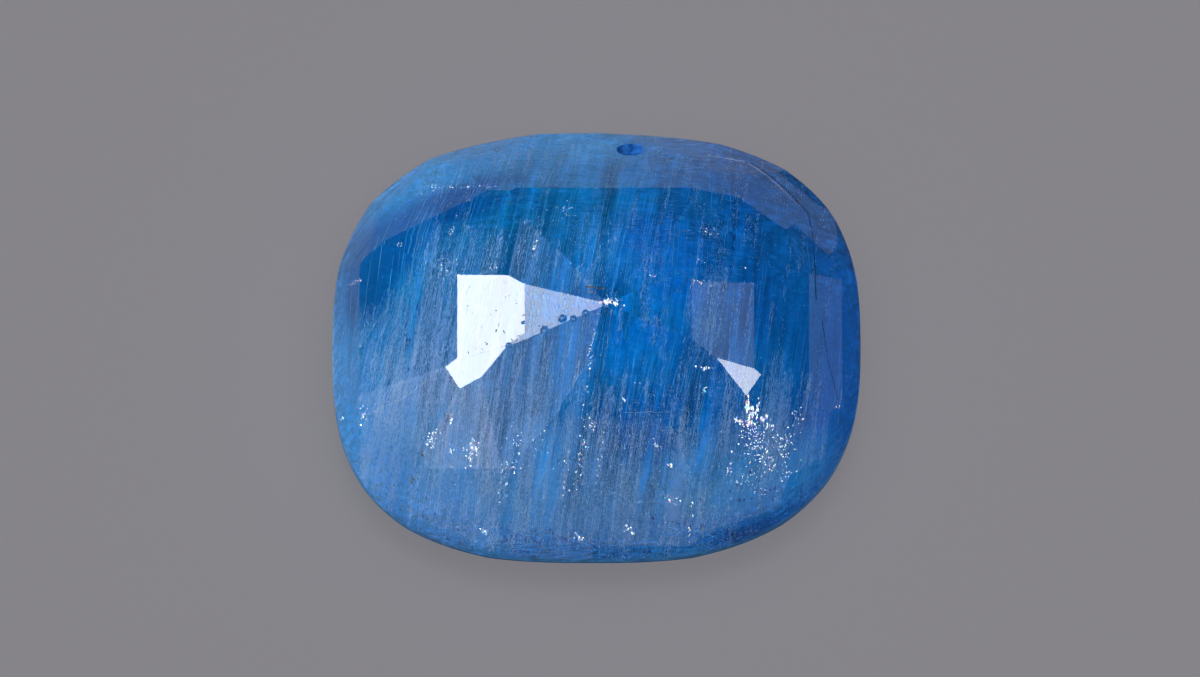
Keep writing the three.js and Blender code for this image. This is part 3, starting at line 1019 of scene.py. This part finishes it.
# The way that facet faces, and how far from it other facets are at least
LAPPED_FACET = (-0.391, 0.0, 0.92)
SAME_FACET = 0.01
# The skin of the scoop: its thickness in mm, and how far out its middle lies, in half thicknesses
NICK_SKIN = (0.004, 1.2)
# Two-tone finishes: darker and paler colour, how far apart the two lie in mm, and roughness
FINISHES = {
    # Guest crystals, seen through blue: soft navy spots
    "dark_crystal": ("#1254A2", "#2A76C2", 0.3, 0.6),
    # An open crack with air in it: a white hair
    "pale_crack": ("#C9DDF2", "#FFFFFF", 0.2, 0.5),
    # A crack open to the surface: a nearly black line, painted shade in the open crack
    "dark_crack": ("#03060C", "#14243C", 0.3, 1.0),
    # Corundum crushed along an edge: frosted grey
    "bruised_edge": ("#6C7CA0", "#A4A4B0", 0.15, 0.8),
    # Open pits: specks nearly black on a bright facet, painted shade in the pits
    "pit_shade": ("#060C18", "#22344E", 0.1, 1.0),
    # Corundum bruised at the girdle: deeper patches, where no polish is left to shine
    "dark_bruise": ("#1E5498", "#3474BC", 0.2, 1.0),
    # Scratches and crushed grains on the girdle: a pale scuff
    "pale_bruise": ("#4A82C4", "#7CA8DC", 0.2, 1.0),
    # Grooves left by the lap: fine blue lines on a bright facet
    "lap_line": ("#3C72B4", "#74A2D8", 0.1, 1.0),
    # Corundum broken and never polished: a deep dull blue, rough as broken corundum is, and darker as
    # painted shade
    "shaded_broken_corundum": ("#06306A", "#1C5AA2", 0.12, 1.0),
}
# The tints of thin films, each from its place on the way from 0 to 1
FILM_TINTS = ((0.0, "#FFFFFF"), (0.66, "#A9F0F5"), (0.76, "#F5B7DC"), (0.84, "#FFD9B0"), (0.93, "#B9B4FF"))
# How far apart tints of films lie, in mm
FILM_GRAIN = 0.06


def finish(name):
    """The material of one of the two-tone finishes."""
    low, high, size, roughness = FINISHES[name]
    return two_tone(name, linear(low), linear(high), size, roughness)


def stain_material(settings):
    """Iron stain: rust that crept into a crack. It gives a dull brown film."""
    return two_tone("iron_stain", (*settings.stain_colour, 1), linear("#8C7A63"), 0.1, 0.8)


def film_material(roughness):
    """Thin films in healed cracks. They flash white, and some show a tint like oil on water."""
    material, tree = new_material("fracture_film")
    place = add_node(tree, "TexCoord").outputs["Object"]
    grain = {"Vector": place, "Scale": 1 / (FILM_GRAIN * MM)}
    scaled = add_node(tree, "VectorMath", grain, operation="SCALE").outputs["Vector"]
    cells = add_node(tree, "TexVoronoi", {"Vector": scaled, "Scale": 1.0}).outputs["Color"]
    apart = add_node(tree, "SeparateColor", {"Color": cells}).outputs["Red"]
    tint = add_node(tree, "ValToRGB", {"Fac": apart})
    ramp = tint.color_ramp
    ramp.interpolation = "CONSTANT"
    ramp.elements.remove(ramp.elements[1])
    for position, colour in FILM_TINTS:
        element = ramp.elements.new(position) if position else ramp.elements[0]
        element.color = linear(colour)
    mirror = {"Base Color": tint.outputs["Color"], "Metallic": 1.0, "Roughness": roughness}
    return finished(material, mirror)


def speck_places(rng, table, more=1):
    """Plan places, lengths and widths in mm for every speck in a table."""
    places, lengths, widths = [], [], []
    for x, y, across, along, count, least, most, share in table:
        count = round(count * more)
        spread = rng.normal(0, 1, (count, 2)) * (across, along)
        places.append(moved((x, y), SILK_AZIMUTH, spread[:, 1], spread[:, 0]))
        size = rng.uniform(least, most, count)
        lengths.append(size * PLATE_LENGTH)
        widths.append(size * share * rng.uniform(*PLATE_WIDTHS, count))
    return np.concatenate(places), np.concatenate(lengths), np.concatenate(widths)


def flash_normals(normals):
    """How films under the facets must face to throw light from overhead out to the front."""
    inner = 0
    for outer in (TOWARDS_FRONT, Vector((0, 0, 1))):
        bent = (np.array(outer) - normals * (normals @ outer)[:, None]) / SAPPHIRE_IOR
        inner = inner + bent + normals * np.sqrt(1 - (bent**2).sum(axis=1, keepdims=True))
    return inner / np.linalg.norm(inner, axis=1, keepdims=True)


class SAPPHIRE_OT_specks(bpy.types.Operator):
    """Glints, the feather, dark crystals and iron stains, each a flock of small plates."""

    bl_idname = "sapphire.specks"
    bl_label = "Specks"

    def execute(self, context):
        settings = context.scene.sapphire_specks
        rng = np.random.default_rng(11)
        planes = stone_planes()
        materials = {
            "film": film_material(settings.film_roughness),
            "dark": finish("dark_crystal"),
            "stain": stain_material(settings),
        }
        shape = plate_shape()
        for name, (material, table, more, depths, thickness, sway, tilt) in SPECKS.items():
            plan, lengths, widths = speck_places(rng, table, more * settings.amount)
            places, normals = under(plan, rng.uniform(*depths, len(plan)), planes)
            inside = depth_inside(places, planes) > SKIN_COVER * MM
            azimuth = SILK_AZIMUTH + rng.normal(0, sway, len(plan))
            facing = flash_normals(normals) if material == "film" else normals
            leaning = facing + rng.normal(0, tilt, normals.shape)
            leaning[:, 2] = np.maximum(leaning[:, 2], STEEPEST)
            leaning /= np.linalg.norm(leaning, axis=1, keepdims=True)
            frames = frames_on(leaning, azimuth, lengths, widths, thickness)
            short = np.maximum(SPECK_COVER * MM - corners_inside(places, frames, planes), 0)
            places = places - normals * short[:, None]
            joined_copies(name, shape, places[inside], frames[inside], materials[material])
        return {"FINISHED"}


class SAPPHIRE_OT_cracks(bpy.types.Operator):
    """Fine cracks under the surface and through it, as short slivers end to end."""

    bl_idname = "sapphire.cracks"
    bl_label = "Cracks"

    def execute(self, context):
        rng = np.random.default_rng(13)
        planes = stone_planes()
        shape = plate_shape()
        reach, lap, sway, shares = SLIVERS
        for name, (material, table, depth, wander) in CRACKS.items():
            plan, azimuth, lengths, widths = [], [], [], []
            for width, *points in table:
                for start, end in zip(points[:-1], points[1:]):
                    run = np.subtract(end, start)
                    length = float(np.linalg.norm(run))
                    count = max(1, round(length / reach))
                    for step in range(count):
                        plan.append(start + run * (step + 0.5) / count + rng.normal(0, wander, 2))
                        azimuth.append(math.degrees(math.atan2(run[1], run[0])) + rng.normal(0, sway))
                        lengths.append(length / count * lap)
                        widths.append(width * rng.uniform(*shares))
            flakes = (plan, depth, azimuth, lengths, widths, FLAKE)
            lay(name, shape, planes, *flakes, ANY_COVER, finish(material))
        return {"FINISHED"}


class SAPPHIRE_OT_wear(bpy.types.Operator):
    """Pits and lap lines on the west facets, knocks along the girdle, and the skin of the north nick."""

    bl_idname = "sapphire.wear"
    bl_label = "Wear"

    def execute(self, context):
        rng = np.random.default_rng(17)
        planes = stone_planes()
        shape = plate_shape()
        for name, (material, table, turn, sway) in WEAR.items():
            plan, lengths, widths = speck_places(rng, table)
            azimuth = SILK_AZIMUTH + turn + rng.normal(0, sway, len(plan))
            flakes = (plan, ON_TOP, azimuth, lengths, widths, FLAKE)
            lay(name, shape, planes, *flakes, ON_FACET, finish(material))
        self.lap_lines(rng, planes, shape)
        self.nick_skin()
        return {"FINISHED"}

    def lap_lines(self, rng, planes, shape):
        """Fine parallel lines on the facet west of the culet."""
        azimuth, spacing, reaches, spreads, share = LAP_LINES
        sway, step, ends_x, ends_y, shift = LAP_SPREAD
        across, along = np.meshgrid(np.arange(*ends_x, spacing), np.arange(*ends_y, step))
        starts = np.column_stack([across.ravel(), np.full(across.size, shift)])
        plan = moved(starts, azimuth, along.ravel(), 0)
        plan = plan[rng.random(len(plan)) < share]
        count = len(plan)
        turned = azimuth + rng.normal(0, sway, count)
        lengths, widths = rng.uniform(*reaches, count), rng.uniform(*spreads, count)
        normals = under(plan, ON_TOP, planes)[1]
        west = (np.abs(normals - LAPPED_FACET) < SAME_FACET).all(axis=1)
        flakes = (plan[west], ON_TOP, turned[west], lengths[west], widths[west], FLAKE)
        lay("lap_lines", shape, planes, *flakes, OVER_EDGE, finish("lap_line"))

    def nick_skin(self):
        """A thin skin over the scoop in the north rim, cut from a copy of the crystal, dark with painted
        shade.
        """
        skin = own_copy(bpy.data.objects["crystal"], "nick_skin")
        bpy.ops.object.mode_set(mode="EDIT")
        bpy.ops.mesh.select_mode(type="FACE")
        bpy.ops.mesh.select_all(action="DESELECT")
        bpy.ops.object.mode_set(mode="OBJECT")
        middle = Vector(NICK_MIDDLE) * MM
        for face in skin.data.polygons:
            face.select = (face.center - middle).length > NICK_RADIUS * MM
        bpy.ops.object.mode_set(mode="EDIT")
        bpy.ops.mesh.delete(type="FACE")
        bpy.ops.object.mode_set(mode="OBJECT")
        if not skin.data.polygons:
            raise RuntimeError("The north nick has no faces")
        thickness, offset = NICK_SKIN
        shell = skin.modifiers.new("shell", "SOLIDIFY")
        shell.thickness = thickness * MM
        shell.offset = offset
        bpy.ops.object.modifier_apply(modifier="shell")
        skin.data.materials.clear()
        # Its darkness is painted shade over the scoop
        skin.data.materials.append(finish("shaded_broken_corundum"))
        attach(skin, "root")


# The studio --------------------------------------------------------------------------------

# How far the lights stand from the stone, in metres
LIGHT_DISTANCE = 1.2
# A light higher than this, in degrees, is round
ROUND_ABOVE = 80
# Name: azimuth, elevation, width and height in degrees, radiance
SOFTBOXES = {
    "west": (182, 32, 84, 18, 10.4),
    "west_top": (162, 43.5, 30, 5, 4.1),
    "southwest_top": (-140, 45, 16, 6, 4.0),
    "east": (-24, 31, 16, 14, 6.2),
    "east_fill": (14, 28, 18, 12, 0.48),
    "east_low": (8, 4.5, 60, 8, 3.0),
    "southwest_low": (-140, 3.5, 60, 11, 0.4),
    "southwest_half": (-150, 18, 30, 12, 0.6),
    "southwest_mid": (-129, 27, 13, 7, 0.65),
    "southwest": (-121, 30, 24, 14, 0.5),
    "south_bend": (-117, 8, 10, 7, 0.18),
    "south_low": (-82, 12, 56, 10, 0.34),
    "south": (-70, 21, 40, 8, 0.22),
    "northwest_high": (123, 29, 24, 10, 0.18),
    "north": (91, 37, 28, 26, 4.9),
    "overhead": (90, 90, 80, 80, 2.1),
}
# Lights that only the floor takes: an even one that throws no shadow of the stone, and one that does
FLOOR_LIGHT = (90, 90, 80, 80, 1.84)
SHADOW_LIGHT = (90, 83, 12, 12, 4.4)
# The light of the room: colour and strength
ROOM_LIGHT = ((0.9, 0.95, 1.0, 1), 0.02)
# Painted shadow: dark cards where the stone's shadow and contact shade fall on the floor round it, and a
# blue one
# under it for the shade there, tinted by light through the stone. They are seen only as mirrored by the
# stone:
# centre, width, depth and corner radius in mm, and colour
PAINTED_SHADOW_CARDS = (
    ("east_painted_shadow", 10.2, -1.35, 6.4, 15.9, 0.4, "#202020"),
    ("northeast_painted_shadow", 12.6, 8.0, 3.6, 3.2, 0.3, "#202020"),
    ("north_painted_shadow", 6.3, 6.2, 2.6, 2.4, 0.3, "#181818"),
    ("front_painted_shadow", 6.2, -8.6, 12.6, 4.2, 0.5, "#303030"),
    ("painted_shade_under_stone", 0, 0, 12.9, 10.8, 3.6, "#386C9C"),
)
# The radius of the floor, and how far it and the cards lie under the stone
FLOOR_RADIUS = 0.3
FLOOR_GAP = 0.02 * MM
CARD_GAP = 0.01 * MM
# The camera: how far it leans from straight down towards the front in degrees, how high the girdle it
# looks at lies and how far right and up of that it aims, and its sensor's width in mm
CAMERA_LEAN = 13
GIRDLE_HEIGHT = 1.6 * MM
AIM = (0.08 * MM, 0.227 * MM)
SENSOR = 36
# Light passes or is mirrored up to this often, which deep facets need
BOUNCES = 24


def softbox(name, azimuth, elevation, wide, tall, radiance, lit):
    """A soft light, seen from the stone at a place in the sky, that lights one collection."""
    away = sky_direction(azimuth, elevation)
    light = bpy.data.lights.new(name, "AREA")
    light.size, light.size_y = (2 * LIGHT_DISTANCE * math.tan(math.radians(a) / 2) for a in (wide, tall))
    light.shape = "ELLIPSE" if elevation > ROUND_ABOVE else "RECTANGLE"
    area = light.size * light.size_y * (math.pi / 4 if elevation > ROUND_ABOVE else 1)
    light.energy = radiance * math.pi * area
    lamp = bpy.data.objects.new(name, light)
    lamp.location = away * LIGHT_DISTANCE
    lamp.rotation_euler = away.to_track_quat("Z", "Y").to_euler()
    lamp.visible_camera = False
    lamp.light_linking.receiver_collection = lit
    bpy.context.scene.collection.objects.link(lamp)
    return lamp


def card_material(name, colour, specular):
    """Matt card, for the floor and for the cards of painted shadow. It gives an even tone with no shine of
    its own.
    """
    material, _ = new_material(name)
    return finished(material, {"Base Color": colour, "Roughness": 0.9, "Specular IOR Level": specular})


class SAPPHIRE_OT_studio(bpy.types.Operator):
    """The floor, the soft lights and the camera."""

    bl_idname = "sapphire.studio"
    bl_label = "Studio"

    def execute(self, context):
        settings = context.scene.sapphire_studio
        deselect()
        cards = self.cards(settings)
        self.lights(context.scene, settings.brightness, cards)
        self.camera(context.scene, settings)
        self.world(context.scene)
        return {"FINISHED"}

    def cards(self, settings):
        """The floor, and the cards of painted shadow that the stone mirrors."""
        floor_height = STONE_LOW.z - FLOOR_GAP
        bpy.ops.mesh.primitive_circle_add(
            vertices=96, radius=FLOOR_RADIUS, fill_type="NGON", location=(0, 0, floor_height)
        )
        floor = bpy.context.object
        floor.name = "floor"
        bpy.ops.object.transform_apply(location=True)
        floor.data.materials.append(card_material("matt_card", (*settings.floor_colour, 1), 0.2))
        cards = [floor]
        # Painted shadow: dark cards, seen only in the stone's mirror, where the stone's shadow falls on
        # the floor
        for name, x, y, wide, tall, corner, colour in PAINTED_SHADOW_CARDS:
            bpy.ops.mesh.primitive_plane_add(size=1, location=(x * MM, y * MM, STONE_LOW.z - CARD_GAP))
            shade_card = bpy.context.object
            shade_card.name = name
            shade_card.scale = (wide * MM, tall * MM, 1)
            bpy.ops.object.transform_apply(location=True, scale=True)
            edit_all()
            bpy.ops.mesh.bevel(offset=corner * MM, segments=12, affect="VERTICES")
            bpy.ops.object.mode_set(mode="OBJECT")
            shade_card.visible_camera = shade_card.visible_diffuse = shade_card.visible_shadow = False
            shade_card.data.materials.append(card_material(f"painted_shadow_{name}", linear(colour), 0.5))
            cards.append(shade_card)
        return cards

    def lights(self, scene, brightness, cards):
        """The soft lights. The stone has its own, and so has the ground it lies on."""
        stone, ground = bpy.data.collections.new("stone"), bpy.data.collections.new("ground")
        for card in cards:
            ground.objects.link(card)
        for piece in scene.objects:
            if piece.type == "MESH" and piece not in cards:
                stone.objects.link(piece)
        for name, (*place, radiance) in SOFTBOXES.items():
            softbox(name, *place, radiance * brightness, stone)
        *place, radiance = FLOOR_LIGHT
        floor_light = softbox("floor_light", *place, radiance * brightness, ground)
        floor_light.light_linking.blocker_collection = ground
        *place, radiance = SHADOW_LIGHT
        softbox("shadow_light", *place, radiance * brightness, ground)

    def camera(self, scene, settings):
        """The camera, which looks down on the pavilion from a little to the front."""
        lean = math.radians(CAMERA_LEAN)
        towards = Vector((0, -math.sin(lean), math.cos(lean)))
        up = Vector((0, math.cos(lean), math.sin(lean)))
        right, rise = AIM
        target = Vector((right, 0, GIRDLE_HEIGHT)) + up * rise
        camera = bpy.data.cameras.new("camera")
        camera.lens = settings.lens
        camera.sensor_width = SENSOR
        camera.clip_start, camera.clip_end = 0.01, 5
        holder = bpy.data.objects.new("camera", camera)
        holder.location = target + towards * settings.frame_width * settings.lens / SENSOR
        holder.rotation_euler = towards.to_track_quat("Z", "Y").to_euler()
        scene.collection.objects.link(holder)
        bpy.context.scene.camera = holder

    def world(self, scene):
        """The faint light of the room, and how light is followed through the stone."""
        world = bpy.data.worlds.new("studio")
        scene.world = world
        world.use_nodes = True
        background = world.node_tree.nodes["Background"].inputs
        background["Color"].default_value, background["Strength"].default_value = ROOM_LIGHT
        scene.view_settings.view_transform = "Standard"
        scene.cycles.debug_use_spatial_splits = True
        scene.cycles.max_bounces = scene.cycles.transmission_bounces = BOUNCES
        scene.cycles.glossy_bounces = scene.cycles.diffuse_bounces = BOUNCES
        scene.cycles.transparent_max_bounces = 16


class SAPPHIRE_PT_panel(bpy.types.Panel):
    """The sizes and colours of the sapphire, and a button for each of its pieces."""

    bl_idname = "SAPPHIRE_PT_panel"
    bl_label = "Sapphire"
    bl_space_type = "VIEW_3D"
    bl_region_type = "UI"
    bl_category = "Sapphire"

    def draw(self, context):
        for group, (settings, operators) in GROUPS.items():
            box = self.layout.box()
            held = getattr(context.scene, group)
            for name in settings.__annotations__:
                box.prop(held, name)
            for operator in operators:
                box.operator(operator.bl_idname)


# What hangs on the scene: its settings and the operators that read them
GROUPS = {
    "sapphire_stone": (StoneSettings, (SAPPHIRE_OT_crystal, SAPPHIRE_OT_milk)),
    "sapphire_silk": (SilkSettings, (SAPPHIRE_OT_silk,)),
    "sapphire_specks": (SpeckSettings, (SAPPHIRE_OT_specks, SAPPHIRE_OT_cracks, SAPPHIRE_OT_wear)),
    "sapphire_studio": (StudioSettings, (SAPPHIRE_OT_studio,)),
}


def register():
    for name, (settings, operators) in GROUPS.items():
        bpy.utils.register_class(settings)
        for operator in operators:
            bpy.utils.register_class(operator)
        setattr(bpy.types.Scene, name, PointerProperty(type=settings))
    bpy.utils.register_class(SAPPHIRE_PT_panel)


def unregister():
    bpy.utils.unregister_class(SAPPHIRE_PT_panel)
    for name, (settings, operators) in GROUPS.items():
        delattr(bpy.types.Scene, name)
        for operator in operators:
            bpy.utils.unregister_class(operator)
        bpy.utils.unregister_class(settings)


def main():
    register()
    bpy.ops.sapphire.crystal()
    bpy.ops.sapphire.milk()
    bpy.ops.sapphire.silk()
    bpy.ops.sapphire.specks()
    bpy.ops.sapphire.cracks()
    bpy.ops.sapphire.wear()
    bpy.ops.sapphire.studio()
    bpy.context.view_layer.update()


if __name__ == "__main__":
    main()
